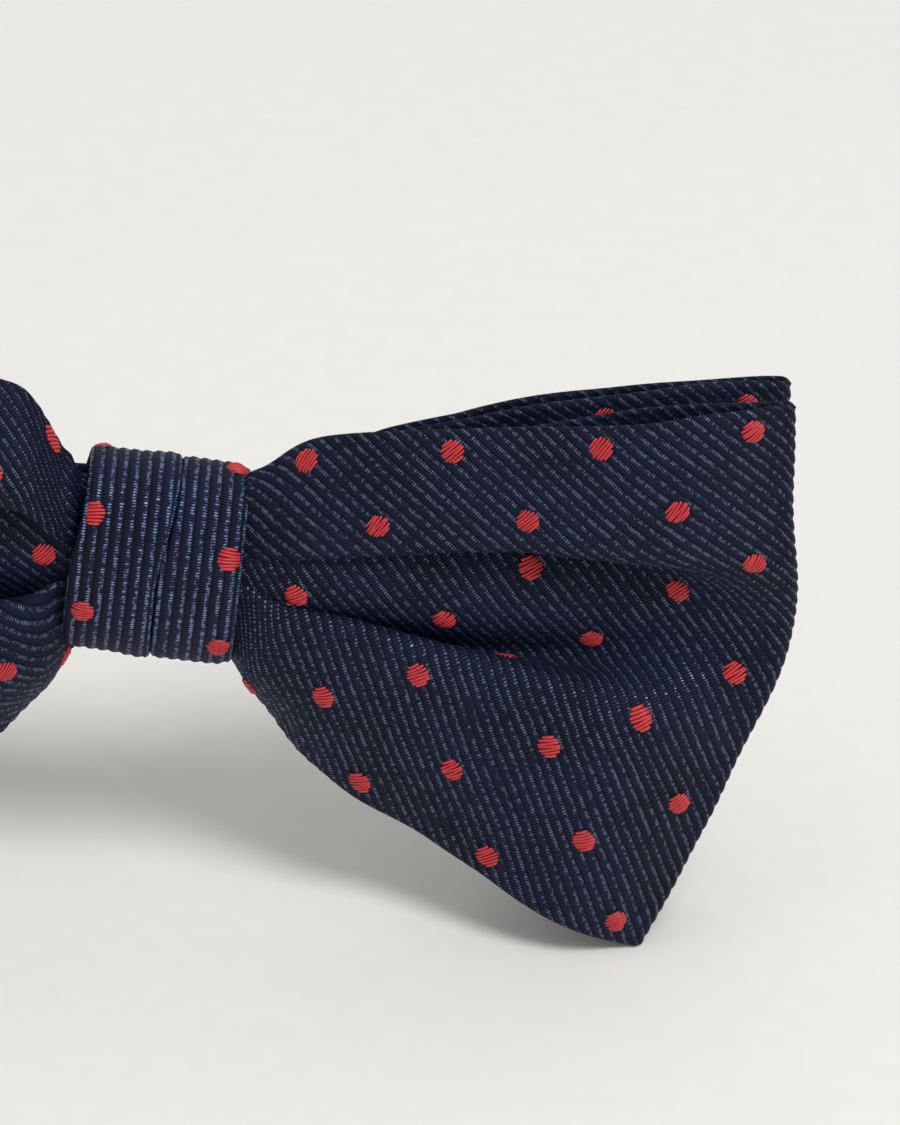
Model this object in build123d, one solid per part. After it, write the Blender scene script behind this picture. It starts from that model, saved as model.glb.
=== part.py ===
from build123d import *
import os

# Ready-tied bow tie with its adjustable neckband folded up flat behind the bow.
# X runs across the bow, -Y is its front, +Z is up, and the floor is z = 0.
# Lengths are in millimetres. Most helpers draw the right half (x > 0); the left is mirrored.

# Bow: two butterfly-shaped cloth loops, one behind the other, each wing sloping down a little.
WING_REACH = 59.7  # from the knot's centre to the middle of a wing's end
WING_CORNER_REACH = 54.4  # to the wing's corners
WING_TOP = 29.0  # top corner above the wing's axis
WING_BOTTOM = 31.0  # bottom corner below the wing's axis
WING_DROOP = 6.3  # degrees
WAIST_HALF_HEIGHT = 7.4
KNOT_Z = 36.3  # the knot's centre stands this high when the bow stands on its lower corners
CLOTH_SKIN = 0.7  # the cloth around an interlining
INTERLINING_INSET = 1.2  # the interlining stops this far inside the bow's outline

# Knot: a band wrapped round the bow's waist and round the neckband behind it.
KNOT_WIDTH = 15.5
KNOT_HEIGHT = 19.6
KNOT_FRONT = -6.6
KNOT_BACK = 7.5
KNOT_WALL = 1.3
KNOT_LAP = 0.5  # the left half of the band's front laps over the right half by this much
THREAD = 0.6
TACK_HALF_LENGTH = 5.4

# Neckband: one flat strap, folded back and forth behind each wing.
STRAP_WIDTH = 13.0
STRAP = 1.2
STRAP_FRONT = 4.75
FOLD_GAP = 0.6
SLIDER_GAP = 1.6  # wider, because the slider's front bars lie in it
OUTER_FOLD_X = 56.0
INNER_FOLD_X = 13.0
FOLD_STUB = 0.3  # a flat run stops this far short of its fold's axis

# Metal end pieces: an eye and a slider on the right, a hook on the left.
METAL = 1.0
PIVOT_X = 33.5
PIVOT_RADIUS = 0.85
LOOP_BORE = 0.95
LOOP_STUB = 3.0
PLATE_GAP = 0.45
RAIL = 1.2
EYE_SLOT_HALF_WIDTH = 4.6
RAIL_CLEARANCE = 0.4
SLIDER_X = 49.5
SLIDER_LENGTH = 10.0
SLIDER_BAR = 0.9

# Depths of the strap's four runs, front face of each, and the axes of the three folds.
RUN_FRONT = [STRAP_FRONT]
for gap in (FOLD_GAP, FOLD_GAP, SLIDER_GAP):
    RUN_FRONT.append(RUN_FRONT[-1] + STRAP + gap)
FOLDS = []
for number, (gap, fold_x) in enumerate(
    [(FOLD_GAP, OUTER_FOLD_X), (FOLD_GAP, INNER_FOLD_X), (SLIDER_GAP, OUTER_FOLD_X)]
):
    FOLDS.append((fold_x, RUN_FRONT[number + 1] - gap / 2, gap / 2))
LAST_RUN_BACK = RUN_FRONT[3] + STRAP
PIVOT_Y = LAST_RUN_BACK + LOOP_BORE
RETURN_FRONT = PIVOT_Y + LOOP_BORE
RETURN_BACK = RETURN_FRONT + STRAP
RAIL_INSIDE = STRAP_WIDTH / 2 + RAIL_CLEARANCE
RAIL_OUTSIDE = RAIL_INSIDE + RAIL
PLATE_ROOT_X = PIVOT_X - LOOP_BORE - STRAP - PLATE_GAP
HOOK_CURL = 0.8
EYE_TIP_X = PIVOT_X - 11.5
HOOK_TIP_X = PIVOT_X - 10.5
HOOK_BACK = PIVOT_Y + METAL / 2 + 2 * HOOK_CURL + METAL

# The row's origin is the centre of the box round the whole object, at floor level.
DEPTH_MIDDLE = (KNOT_FRONT - KNOT_LAP + HOOK_BACK) / 2
TO_ORIGIN = Pos(0, -DEPTH_MIDDLE, 0)


def block(x0, x1, y0, y1, z0, z1):
    """A box between two corners."""
    middle = Pos((x0 + x1) / 2, (y0 + y1) / 2, (z0 + z1) / 2)
    return middle * Box(abs(x1 - x0), abs(y1 - y0), abs(z1 - z0))


def band(x0, x1, y0, y1, half_width=STRAP_WIDTH / 2):
    """A box centred on the knot's height, as wide as the strap unless told otherwise."""
    return block(x0, x1, y0, y1, KNOT_Z - half_width, KNOT_Z + half_width)


def plan_prism(points, half_width=STRAP_WIDTH / 2):
    """A prism on a closed outline seen from above, centred on the knot's height."""
    face = make_face(Polyline(*points, close=True))
    return Pos(0, 0, KNOT_Z - half_width) * extrude(face, 2 * half_width)


def half_ring(x, y, inner, outer, towards, half_width=STRAP_WIDTH / 2):
    """Half of an upright ring about (x, y), on the side of x that towards gives (+1 or -1)."""
    ring = Pos(x, y, KNOT_Z) * (
        Cylinder(outer, 2 * half_width) - Cylinder(inner, 2 * half_width)
    )
    return ring & band(x, x + towards * 2 * outer, y - outer, y + outer, half_width)


def mirrored(shape):
    """The same shape on the left of the bow."""
    return mirror(shape, about=Plane.YZ)


def wing_prism(inset):
    """The right wing's outline, sloped down, and cut through the whole depth."""
    top = WING_TOP - inset
    bottom = -WING_BOTTOM + inset
    corner = WING_CORNER_REACH - inset
    waist = WAIST_HALF_HEIGHT - inset
    upper = Spline(
        (8.0, waist), (9.6, 12.4 - inset), (12.8, 16.0 - inset), (19.2, 18.8 - inset)
    )
    lower = Spline(
        (9.2, -waist), (11.0, -11.2 + inset), (14.6, -14.4 + inset), (23.8, -20.0 + inset)
    )
    outline = [
        Line((0, -waist), (0, waist)),
        Line((0, waist), (8.0, waist)),
        upper,
        Line((19.2, 18.8 - inset), (corner, top)),
        ThreePointArc((corner, top), (WING_REACH - inset, -1.0), (corner, bottom)),
        Line((corner, bottom), (23.8, -20.0 + inset)),
        lower,
        Line((9.2, -waist), (0, -waist)),
    ]
    face = Plane.XZ * make_face(outline)
    prism = extrude(face, 20, both=True)
    return Pos(0, 0, KNOT_Z) * Rot(0, WING_DROOP, 0) * prism


def bow_solid(front, back, inset, skin):
    """A butterfly between two faces, each given as (x, y) points from the centre outwards."""
    outline = wing_prism(inset)
    outline = outline + mirrored(outline)
    front = [(x, y + skin) for x, y in front]
    back = [(x, y - skin) for x, y in back]
    right = front + back[::-1]
    plan = make_face(Polyline(*right, close=True))
    plan = extrude(plan, 80)
    plan = plan + mirrored(plan)
    return outline & plan


def bow_pieces(front, back):
    """A bow's cloth, hollow, and the interlining inside it."""
    interlining = bow_solid(front, back, INTERLINING_INSET, CLOTH_SKIN)
    cloth = bow_solid(front, back, 0, 0) - interlining
    return cloth, interlining


def knot_ring(growth, radius, width):
    """A rounded rectangle round the knot's hole, grown outwards, cut across the bow."""
    depth = KNOT_BACK - KNOT_FRONT - 2 * KNOT_WALL + 2 * growth
    height = KNOT_HEIGHT - 2 * KNOT_WALL + 2 * growth
    section = Plane.YZ * RectangleRounded(depth, height, radius)
    middle = Pos(0, (KNOT_FRONT + KNOT_BACK) / 2, KNOT_Z)
    return middle * extrude(section, width / 2, both=True)


def waist_threads():
    """Three turns of thread that pull both bows in at the waist."""
    front, back = FRONT_BOW_FRONT[0][1], BACK_BOW_BACK[0][1]
    half = WAIST_HALF_HEIGHT + 0.3
    turns = []
    for x in (-2 * THREAD, 0, 2 * THREAD):
        depth = back - front + 0.2
        hole = RectangleRounded(depth, 2 * half, 0.5)
        outer = RectangleRounded(depth + 2 * THREAD, 2 * (half + THREAD), 0.5 + THREAD)
        turn = extrude(Plane.YZ * (outer - hole), THREAD / 2, both=True)
        turns.append(Pos(x, (front + back) / 2, KNOT_Z) * turn)
    return Compound(turns)


def closing_stitches():
    """Stitches that close the band behind the knot, sunk flush with its back."""
    stitches = []
    for step in range(-2, 3):
        z = KNOT_Z + 2.4 * step
        stitches.append(block(-1.3, 1.3, KNOT_BACK - 0.4, KNOT_BACK, z - 0.25, z + 0.25))
    return stitches


def fold_bend(number):
    """The turn of the strap at a fold, with the short flats that meet the two runs."""
    x, y, inner = FOLDS[number]
    towards = 1 if x > SLIDER_X else -1
    bend = half_ring(x, y, inner, inner + STRAP, towards)
    for front in (y - inner - STRAP, y + inner):
        bend += band(x - towards * FOLD_STUB, x, front, front + STRAP)
    return bend


def strap_loop():
    """The turn of the strap round the bar of the eye or the hook."""
    loop = half_ring(PIVOT_X, PIVOT_Y, LOOP_BORE, LOOP_BORE + STRAP, -1)
    return loop + band(PIVOT_X, PIVOT_X + LOOP_STUB, RUN_FRONT[3], LAST_RUN_BACK)


def eye_loop():
    """The strap's turn round the eye's bar, with both plies parallel behind it."""
    end = PIVOT_X + LOOP_STUB
    return strap_loop() + band(PIVOT_X, end, RETURN_FRONT, RETURN_BACK)


def hook_loop():
    """The strap's turn round the hook's bar, its end laid down and sewn to the last run."""
    end = PIVOT_X + LOOP_STUB
    sewn = end + 5
    stop = sewn + 4
    ply = [
        (PIVOT_X, RETURN_FRONT),
        (end, RETURN_FRONT),
        (sewn, LAST_RUN_BACK),
        (stop, LAST_RUN_BACK),
        (stop, LAST_RUN_BACK + STRAP),
        (sewn, LAST_RUN_BACK + STRAP),
        (end, RETURN_BACK),
        (PIVOT_X, RETURN_BACK),
    ]
    return strap_loop() + plan_prism(ply)


def pivot_frame():
    """The bar inside the strap's turn and the two rails that carry it."""
    bar = Pos(PIVOT_X, PIVOT_Y, KNOT_Z) * Cylinder(PIVOT_RADIUS, 2 * RAIL_INSIDE)
    frame = bar
    y0, y1 = PIVOT_Y - METAL / 2, PIVOT_Y + METAL / 2
    for side in (-1, 1):
        z0, z1 = sorted((KNOT_Z + side * RAIL_INSIDE, KNOT_Z + side * RAIL_OUTSIDE))
        rail = block(PLATE_ROOT_X - RAIL, PIVOT_X, y0, y1, z0, z1)
        knuckle = Pos(PIVOT_X, PIVOT_Y, (z0 + z1) / 2) * Cylinder(PIVOT_RADIUS, RAIL)
        frame += rail + knuckle
    return frame


def eye():
    """The metal eye: a frame round a slot that the hook drops into."""
    y0, y1 = PIVOT_Y - METAL / 2, PIVOT_Y + METAL / 2
    plate = band(EYE_TIP_X, PLATE_ROOT_X, y0, y1, RAIL_OUTSIDE)
    plate = fillet(plate.edges().filter_by(Axis.Y).group_by(Axis.X)[0], 2.0)
    slot = band(EYE_TIP_X + 2.2, EYE_TIP_X + 5.8, y0 - 1, y1 + 1, EYE_SLOT_HALF_WIDTH)
    slot = fillet(slot.edges().filter_by(Axis.Y), 1.5)
    return plate - slot + pivot_frame()


def hook():
    """The metal hook: a plate that narrows to a tongue curled back on itself."""
    y0, y1 = PIVOT_Y - METAL / 2, PIVOT_Y + METAL / 2
    tongue = 2.6
    shoulder = PLATE_ROOT_X - 1.8
    neck = shoulder - 2.4
    outline = [
        (PLATE_ROOT_X, -RAIL_OUTSIDE),
        (PLATE_ROOT_X, RAIL_OUTSIDE),
        (shoulder, RAIL_OUTSIDE),
        (neck, tongue),
        (HOOK_TIP_X, tongue),
        (HOOK_TIP_X, -tongue),
        (neck, -tongue),
        (shoulder, -RAIL_OUTSIDE),
    ]
    face = Plane.XZ * make_face(Polyline(*outline, close=True))
    plate = Pos(0, y1, KNOT_Z) * extrude(face, METAL)
    curl = half_ring(HOOK_TIP_X, y1 + HOOK_CURL, HOOK_CURL, HOOK_CURL + METAL, -1, tongue)
    lip = band(HOOK_TIP_X, HOOK_TIP_X + 3, HOOK_BACK - METAL, HOOK_BACK, tongue)
    return plate + curl + lip + pivot_frame()


def slider():
    """A three-bar slider: two bars in front of the strap, the middle one behind it."""
    x0, x1 = SLIDER_X - SLIDER_LENGTH / 2, SLIDER_X + SLIDER_LENGTH / 2
    front = RUN_FRONT[2] + STRAP + 0.3
    back = RETURN_FRONT - 0.2
    frame = band(SLIDER_X - 1, SLIDER_X + 1, back - SLIDER_BAR, back, RAIL_INSIDE)
    for bar_x in (x0, x1 - 1.8):
        frame += band(bar_x, bar_x + 1.8, front, front + SLIDER_BAR, RAIL_INSIDE)
    for side in (-1, 1):
        z0, z1 = sorted((KNOT_Z + side * RAIL_INSIDE, KNOT_Z + side * RAIL_OUTSIDE))
        frame += block(x0, x1, front, back, z0, z1)
    return frame


def slider_tab():
    """The strap's end, taken round the slider's middle bar."""
    wrap_front = LAST_RUN_BACK + 0.2
    far = SLIDER_X + 2.2
    tab = band(SLIDER_X - 4, far, RETURN_FRONT, RETURN_BACK)
    tab += band(far - 0.8, far, wrap_front, RETURN_FRONT)
    return tab + band(SLIDER_X - 1.6, far, wrap_front, wrap_front + 0.4)


FRONT_BOW_FRONT = [(0, -4.5), (8.2, -4.5), (11, -6.3), (28, -6.4), (62, -5.0)]
FRONT_BOW_BACK = [(0, -0.2), (38, -0.6), (62, -2.4)]
BACK_BOW_FRONT = [(0, 0.2), (38, 0.6), (62, 1.5)]
BACK_BOW_BACK = [(0, 3.7), (8.2, 3.7), (12, 4.3), (62, 4.1)]

nodes = {}
nodes["front_bow_cloth"], nodes["front_bow_interlining"] = bow_pieces(
    FRONT_BOW_FRONT, FRONT_BOW_BACK
)
nodes["back_bow_cloth"], nodes["back_bow_interlining"] = bow_pieces(
    BACK_BOW_FRONT, BACK_BOW_BACK
)
nodes["waist_thread"] = waist_threads()

knot_lining = knot_ring(0.7, 1.7, KNOT_WIDTH - 1.4) - knot_ring(0.3, 1.3, KNOT_WIDTH)
lap = block(-KNOT_WIDTH / 2, 0.2, KNOT_FRONT - KNOT_LAP, KNOT_FRONT, KNOT_Z - 6.4, KNOT_Z + 6.4)
knot_band = knot_ring(KNOT_WALL, 3.0, KNOT_WIDTH) + lap - knot_ring(0, 1.0, KNOT_WIDTH + 2)
stitches = closing_stitches()
nodes["knot_band"] = knot_band - knot_lining - stitches
nodes["knot_interlining"] = knot_lining
nodes["knot_stitches"] = Compound(stitches)

run_end = OUTER_FOLD_X - FOLD_STUB
nodes["neckband_centre"] = band(-run_end, run_end, RUN_FRONT[0], RUN_FRONT[0] + STRAP)

loop_end = PIVOT_X + LOOP_STUB
for side_name, place in (("right", lambda shape: shape), ("left", mirrored)):
    for number in range(3):
        nodes[f"{side_name}_fold_{number + 1}"] = place(fold_bend(number))
    for number, start in ((1, INNER_FOLD_X + FOLD_STUB), (2, INNER_FOLD_X + FOLD_STUB), (3, loop_end)):
        run = band(start, run_end, RUN_FRONT[number], RUN_FRONT[number] + STRAP)
        nodes[f"{side_name}_run_{number + 1}"] = place(run)

tack_x = SLIDER_X - 3
nodes["right_eye_loop"] = eye_loop()
nodes["eye"] = eye()
nodes["right_return_run"] = band(loop_end, SLIDER_X - 4, RETURN_FRONT, RETURN_BACK)
nodes["slider_frame"] = slider()
nodes["slider_tab"] = slider_tab()
nodes["slider_bartack"] = band(tack_x, tack_x + 1, RETURN_BACK, RETURN_BACK + 0.3, TACK_HALF_LENGTH)
nodes["left_hook_loop"] = mirrored(hook_loop())
sewn_back = LAST_RUN_BACK + STRAP
hook_tack_x = loop_end + 6.5
hook_tack = band(hook_tack_x, hook_tack_x + 1, sewn_back, sewn_back + 0.3, TACK_HALF_LENGTH)
nodes["hook_bartack"] = mirrored(hook_tack)
nodes["hook"] = mirrored(hook())

os.makedirs("parts", exist_ok=True)
above_floor = block(-100, 100, -50, 50, 0, 100)
for name, shape in nodes.items():
    if name.startswith(("front_bow", "back_bow")):
        shape = shape & above_floor
    export_step(TO_ORIGIN * shape, f"parts/{name}.step")
    print(name, round(shape.volume, 1))
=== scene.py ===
import math
import bpy
import numpy as np
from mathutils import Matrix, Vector


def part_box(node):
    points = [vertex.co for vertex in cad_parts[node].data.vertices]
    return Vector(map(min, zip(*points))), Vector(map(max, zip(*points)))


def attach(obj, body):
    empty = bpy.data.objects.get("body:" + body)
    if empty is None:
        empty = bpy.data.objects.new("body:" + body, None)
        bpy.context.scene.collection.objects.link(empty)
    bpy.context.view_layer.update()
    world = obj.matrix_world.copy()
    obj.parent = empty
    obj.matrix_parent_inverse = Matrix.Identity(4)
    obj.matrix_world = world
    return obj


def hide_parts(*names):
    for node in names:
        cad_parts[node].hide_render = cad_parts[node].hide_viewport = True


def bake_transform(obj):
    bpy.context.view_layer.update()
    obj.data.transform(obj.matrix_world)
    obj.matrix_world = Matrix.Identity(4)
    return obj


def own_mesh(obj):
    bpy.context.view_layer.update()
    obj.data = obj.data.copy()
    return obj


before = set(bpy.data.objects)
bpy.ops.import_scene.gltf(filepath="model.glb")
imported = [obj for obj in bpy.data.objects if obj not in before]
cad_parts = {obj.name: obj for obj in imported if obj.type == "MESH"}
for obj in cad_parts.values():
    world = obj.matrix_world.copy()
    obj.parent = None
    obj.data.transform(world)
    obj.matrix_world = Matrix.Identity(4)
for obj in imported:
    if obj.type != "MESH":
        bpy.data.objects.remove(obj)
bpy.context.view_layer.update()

# Lengths are in millimetres in the part's own design axes: X across the bow, -Y to its front,
# Z up, and the knot's centre on X = 0. place() turns them into the frame's metres.
RUN_FRONT = [4.75, 6.55, 8.35, 11.15]
STRAP = 1.2
STRAP_WIDTH = 13.0
centre_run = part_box("neckband_centre")
KNOT_Z = (centre_run[0][2] + centre_run[1][2]) * 500
Y_SHIFT = centre_run[0][1] * 1000 - RUN_FRONT[0]


def place(points):
    """Design millimetres to frame metres."""
    points = np.asarray(points, float)
    return (points + np.array([0, Y_SHIFT, 0])) / 1000


def eased(a):
    a = np.clip(a, 0, 1)
    return a * a * (3 - 2 * a)


def unit(v):
    return v / np.maximum(np.linalg.norm(v, axis=-1, keepdims=True), 1e-12)


# ---------------------------------------------------------------- materials

def srgb(red, green, blue):
    """An sRGB colour, 0 to 255, as linear RGBA."""
    channels = []
    for value in (red / 255, green / 255, blue / 255):
        channels.append(value / 12.92 if value <= 0.04045 else ((value + 0.055) / 1.055) ** 2.4)
    return (*channels, 1.0)


class Nodes:
    """A material's node tree, with short helpers."""

    def __init__(self, name, **principled):
        self.material = bpy.data.materials.new(name)
        self.material.use_nodes = True
        self.tree = self.material.node_tree
        self.shader = self.tree.nodes["Principled BSDF"]
        for socket, value in principled.items():
            self.shader.inputs[socket.replace("_", " ")].default_value = value

    def add(self, kind, **values):
        node = self.tree.nodes.new("ShaderNode" + kind)
        for key, value in values.items():
            setattr(node, key, value)
        return node

    def link(self, source, target):
        self.tree.links.new(source, target)

    def put(self, socket, value):
        if isinstance(value, (int, float, tuple)):
            socket.default_value = value
        else:
            self.link(value, socket)

    def math(self, operation, a, b=0.0, c=0.0):
        node = self.add("Math", operation=operation)
        for socket, value in zip(node.inputs, (a, b, c)):
            self.put(socket, value)
        return node.outputs[0]

    def mix(self, factor, a, b):
        node = self.add("Mix", data_type="RGBA")
        self.put(node.inputs[0], factor)
        self.put(node.inputs[6], a)
        self.put(node.inputs[7], b)
        return node.outputs[2]

    def span(self, value, low, high, to_low=0.0, to_high=1.0):
        node = self.add("MapRange", interpolation_type="SMOOTHSTEP")
        for socket, number in zip(node.inputs, (value, low, high, to_low, to_high)):
            self.put(socket, number)
        return node.outputs[0]

    def noise(self, scale, detail=2.0, vector=None):
        """A noise whose scale is in cycles per metre where no vector is given."""
        node = self.add("TexNoise")
        node.inputs["Scale"].default_value = scale
        node.inputs["Detail"].default_value = detail
        if vector is None:
            vector = self.add("TexCoord").outputs["Object"]
        self.link(vector, node.inputs["Vector"])
        return node.outputs[0]

    def bump(self, height, distance, normal=None):
        node = self.add("Bump")
        node.inputs["Distance"].default_value = distance
        self.link(height, node.inputs["Height"])
        if normal is not None:
            self.link(normal, node.inputs["Normal"])
        return node.outputs[0]


FLOAT_LENGTH = 0.27


def ribbed_silk(name, painted_glint_strength, bumped_ribs=False):
    """Navy ribbed silk. Its UV map counts ribs along U, and millimetres along the ribs on V."""
    n = Nodes(name, Roughness=0.5, Specular_IOR_Level=0.3, Sheen_Weight=0.03, Sheen_Roughness=0.45)
    n.shader.inputs["Sheen Tint"].default_value = srgb(150, 165, 215)
    uv = n.add("UVMap", uv_map="cloth")
    split = n.add("SeparateXYZ")
    n.link(uv.outputs[0], split.inputs[0])
    across, along = split.outputs[0], split.outputs[1]
    drift = n.noise(700.0, 2.0)
    wander = n.math("MULTIPLY", n.math("SUBTRACT", drift, 0.5), 0.12)
    phase = n.math("FRACT", n.math("ADD", across, wander))
    row = n.math("FLOOR", across)
    stagger = n.math("MULTIPLY", row, 0.37)
    thread = n.math("FRACT", n.math("ADD", n.math("MULTIPLY", along, 1 / FLOAT_LENGTH), stagger))
    dash = n.math("MULTIPLY", n.span(thread, 0.05, 0.40), n.span(thread, 0.98, 0.66))
    # The ridge climbs fast from its groove. Its other flank carries the thread floats, and a painted
    # highlight is laid on them there.
    groove = n.math("MULTIPLY", n.span(phase, 0.02, 0.20), n.span(phase, 0.99, 0.90))
    flank = n.math("MULTIPLY", n.span(phase, 0.50, 0.64), n.span(phase, 0.94, 0.82))
    speckle = n.span(n.noise(2600.0, 3.0), 0.43, 0.60, 0.06, 1.0)
    patch = n.span(n.noise(110.0, 2.0), 0.35, 0.65)
    ground = n.mix(patch, srgb(16, 21, 43), srgb(22, 29, 58))
    # Painted shade: the ground darkens between the thread floats along each rib.
    ground = n.mix(dash, n.mix(0.6, ground, srgb(5, 7, 14)), ground)
    # Painted shade: the rib grooves are darkened nearly to black, and the floats break up that dark line.
    broken = n.math("MAXIMUM", groove, n.math("MULTIPLY", dash, 0.35))
    body = n.mix(broken, srgb(3, 4, 9), ground)
    # Painted highlight: bright blue-white glints on the thread floats along each rib's flank.
    painted_glint = n.math("MULTIPLY", n.math("MULTIPLY", flank, dash), speckle)
    colour = n.mix(n.math("MULTIPLY", painted_glint, painted_glint_strength), body, srgb(112, 132, 184))
    n.link(colour, n.shader.inputs["Base Color"])
    n.link(n.span(painted_glint, 0.0, 1.0, 0.58, 0.26), n.shader.inputs["Roughness"])
    fine = n.math("MULTIPLY", dash, n.math("ADD", n.math("MULTIPLY", flank, 0.5), 0.5))
    normal = n.bump(fine, 0.00011)
    if bumped_ribs:
        ridge = n.math("MULTIPLY", n.span(phase, 0.0, 0.4), n.span(phase, 1.0, 0.55))
        normal = n.bump(ridge, 0.00016, normal)
    n.link(n.span(painted_glint, 0.0, 0.8, 0.12, 0.75), n.shader.inputs["Specular IOR Level"])
    n.link(normal, n.shader.inputs["Normal"])
    return n.material


def dot_silk():
    """Red satin floats; each float is its own ridge in the mesh."""
    n = Nodes("red_satin", Roughness=0.42, Specular_IOR_Level=0.45, Sheen_Weight=0.15, Sheen_Roughness=0.4)
    n.shader.inputs["Sheen Tint"].default_value = srgb(255, 190, 190)
    uv = n.add("UVMap", uv_map="cloth")
    stretched = n.add("Mapping")
    stretched.inputs["Scale"].default_value = (1.7, 0.5, 1.0)
    n.link(uv.outputs[0], stretched.inputs["Vector"])
    strands = n.span(n.noise(4.0, 3.0, stretched.outputs[0]), 0.36, 0.64)
    colour = n.mix(strands, srgb(158, 22, 32), srgb(220, 58, 64))
    split = n.add("SeparateXYZ")
    n.link(uv.outputs[0], split.inputs[0])
    # Painted shade: each float darkens towards its sides, where it meets its neighbours.
    edge = n.span(n.math("ABSOLUTE", split.outputs[0]), 0.5, 1.0)
    colour = n.mix(edge, colour, srgb(64, 6, 14))
    n.link(colour, n.shader.inputs["Base Color"])
    n.link(n.bump(n.noise(5200.0, 2.0), 0.00002), n.shader.inputs["Normal"])
    return n.material


def thread_material(name, dark, light):
    """Twisted sewing thread."""
    n = Nodes(name, Roughness=0.5, Specular_IOR_Level=0.3, Sheen_Weight=0.2)
    wave = n.add("TexWave", bands_direction="DIAGONAL")
    wave.inputs["Scale"].default_value = 900.0
    wave.inputs["Distortion"].default_value = 1.2
    n.link(n.add("TexCoord").outputs["Object"], wave.inputs["Vector"])
    n.link(n.mix(wave.outputs[1], dark, light), n.shader.inputs["Base Color"])
    n.link(n.bump(wave.outputs[1], 0.00006), n.shader.inputs["Normal"])
    return n.material


def felt_material():
    """Pale woven interlining."""
    n = Nodes("woven_interlining", Roughness=0.9, Specular_IOR_Level=0.15)
    grain = n.noise(1500.0, 4.0)
    colour = n.mix(n.span(grain, 0.3, 0.7), srgb(205, 200, 188), srgb(232, 229, 220))
    n.link(colour, n.shader.inputs["Base Color"])
    n.link(n.bump(grain, 0.0001), n.shader.inputs["Normal"])
    return n.material


def nickel_material():
    """Plated metal with a brushed grain and a little tarnish."""
    n = Nodes("nickel_plate", Metallic=1.0, Roughness=0.3)
    place_node = n.add("Mapping")
    place_node.inputs["Scale"].default_value = (1.0, 1.0, 14.0)
    n.link(n.add("TexCoord").outputs["Object"], place_node.inputs["Vector"])
    brushed = n.noise(420.0, 4.0, place_node.outputs[0])
    tarnish = n.span(n.noise(260.0, 3.0), 0.45, 0.75)
    n.link(n.mix(tarnish, srgb(214, 211, 204), srgb(172, 166, 154)), n.shader.inputs["Base Color"])
    n.link(n.span(brushed, 0.3, 0.7, 0.2, 0.42), n.shader.inputs["Roughness"])
    n.link(n.bump(brushed, 0.000015), n.shader.inputs["Normal"])
    return n.material


def floor_material():
    """Pale board with a soft embossed grain."""
    n = Nodes("pale_board", Roughness=0.75, Specular_IOR_Level=0.2)
    grain = n.noise(330.0, 3.0)
    colour = n.mix(n.span(grain, 0.3, 0.7), srgb(236, 236, 233), srgb(238, 238, 235))
    n.link(colour, n.shader.inputs["Base Color"])
    n.link(n.bump(grain, 0.00006), n.shader.inputs["Normal"])
    return n.material


# The painted highlight on the rib flanks is stronger on the knot's silk.
SILK = ribbed_silk("ribbed_silk", painted_glint_strength=0.42)
KNOT_SILK = ribbed_silk("knot_silk", painted_glint_strength=0.95)
STRAP_SILK = ribbed_silk("strap_silk", painted_glint_strength=0.42, bumped_ribs=True)
RED = dot_silk()
THREAD = thread_material("navy_thread", srgb(18, 23, 42), srgb(58, 68, 104))
FELT = felt_material()
NICKEL = nickel_material()

# ---------------------------------------------------------------- mesh making


def new_object(name, points, faces, uv, material):
    """A smooth-shaded mesh object. uv has one pair for each corner of each face."""
    mesh = bpy.data.meshes.new(name)
    mesh.from_pydata(place(points).tolist(), [], faces)
    mesh.polygons.foreach_set("use_smooth", [True] * len(mesh.polygons))
    layer = mesh.uv_layers.new(name="cloth")
    layer.data.foreach_set("uv", np.asarray(uv, float).ravel())
    mesh.materials.append(material)
    mesh.update()
    if enclosed_volume(mesh) < 0:
        mesh.flip_normals()
    obj = bpy.data.objects.new(name, mesh)
    bpy.context.scene.collection.objects.link(obj)
    return obj


def enclosed_volume(mesh):
    """Positive where the faces look outwards."""
    mesh.calc_loop_triangles()
    corners = np.zeros(len(mesh.vertices) * 3)
    mesh.vertices.foreach_get("co", corners)
    triangles = np.zeros(len(mesh.loop_triangles) * 3, int)
    mesh.loop_triangles.foreach_get("vertices", triangles)
    corners = corners.reshape(-1, 3) - corners.reshape(-1, 3).mean(axis=0)
    a, b, c = np.moveaxis(corners[triangles.reshape(-1, 3)], 1, 0)
    return (a * np.cross(b, c)).sum()


def lattice(points, uv, loop_rows, loop_columns):
    """Quads over a grid of points (rows, columns, 3). uv has one more row or column where that way closes."""
    rows, columns = points.shape[:2]
    i = np.arange(rows if loop_rows else rows - 1)[:, None]
    j = np.arange(columns if loop_columns else columns - 1)[None, :]
    corners = [(i, j), (i, j + 1), (i + 1, j + 1), (i + 1, j)]
    faces = np.stack([(a % rows) * columns + b % columns + 0 * i * j for a, b in corners], -1)
    loops = np.stack([uv[a + 0 * j, b + 0 * i] for a, b in corners], 2)
    return points.reshape(-1, 3), faces.reshape(-1, 4), loops.reshape(-1, 2)


def rib_uv(across, down):
    """Ribs run down and to the right at 45 degrees: U counts ribs, V is the length along them."""
    return np.stack([(across - down) / math.sqrt(2), (across + down) / math.sqrt(2)], -1)


RIB_HEIGHT = 0.14
# The rounded turn along a folded edge of the cloth, from its inner face to its outer one.
EDGE_TURN = np.radians([150, 120, 90, 60, 30])


def rib_height(ribs):
    """Height of the cloth's ridges where U is ribs: steep on one flank and easy on the other."""
    phase = np.mod(ribs, 1.0)
    return RIB_HEIGHT * np.interp(phase, [0, 1 / 3, 2 / 3, 1], [0, 1, 0.72, 0])


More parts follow.
